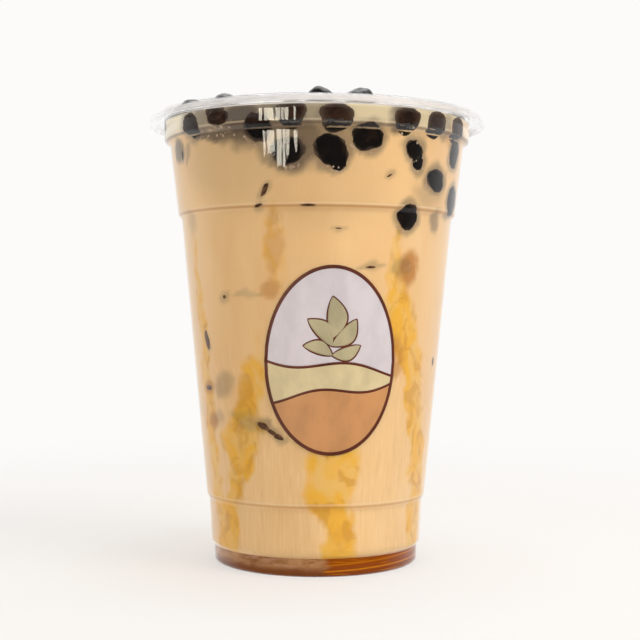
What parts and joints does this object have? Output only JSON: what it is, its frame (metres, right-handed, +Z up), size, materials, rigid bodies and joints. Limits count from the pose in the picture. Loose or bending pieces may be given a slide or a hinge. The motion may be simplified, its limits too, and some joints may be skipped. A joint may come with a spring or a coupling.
{
  "type": "bubble tea",
  "caption": "Milk tea with tapioca pearls in a tall clear plastic cup with a rolled rim, filled nearly to the top, dark syrup at the base.",
  "frame": {"origin": "on the table under the middle of the cup", "axes": "+Z up along the cup's axis, -Y towards the printed front of the cup"},
  "size_m": [0.098, 0.098, 0.134],
  "materials": {
    "cup_plastic": "clear formed plastic, glossy",
    "milk_tea": "opaque liquid, glossy, marbled with syrup",
    "brown_syrup": "dark translucent syrup",
    "tapioca": "wet, glossy, nearly black"
  },
  "bodies": {
    "root": {"cup": "cup_plastic", "tea": "milk_tea", "syrup": "brown_syrup", "pearl_01": "tapioca", "pearl_02": "tapioca", "pearl_03": "tapioca", "pearl_04": "tapioca", "pearl_05": "tapioca", "pearl_06": "tapioca", "pearl_07": "tapioca", "pearl_08": "tapioca", "pearl_09": "tapioca", "pearl_10": "tapioca", "pearl_11": "tapioca", "pearl_12": "tapioca", "pearl_13": "tapioca", "pearl_14": "tapioca", "pearl_15": "tapioca", "pearl_16": "tapioca", "pearl_17": "tapioca", "pearl_18": "tapioca", "pearl_19": "tapioca", "pearl_20": "tapioca", "pearl_21": "tapioca", "pearl_22": "tapioca", "pearl_23": "tapioca", "pearl_24": "tapioca", "pearl_25": "tapioca", "pearl_26": "tapioca", "pearl_27": "tapioca", "pearl_28": "tapioca", "pearl_29": "tapioca", "pearl_30": "tapioca", "pearl_31": "tapioca", "pearl_32": "tapioca", "pearl_33": "tapioca", "pearl_34": "tapioca", "pearl_35": "tapioca", "pearl_36": "tapioca", "pearl_37": "tapioca", "pearl_38": "tapioca"}
  },
  "joints": []
}
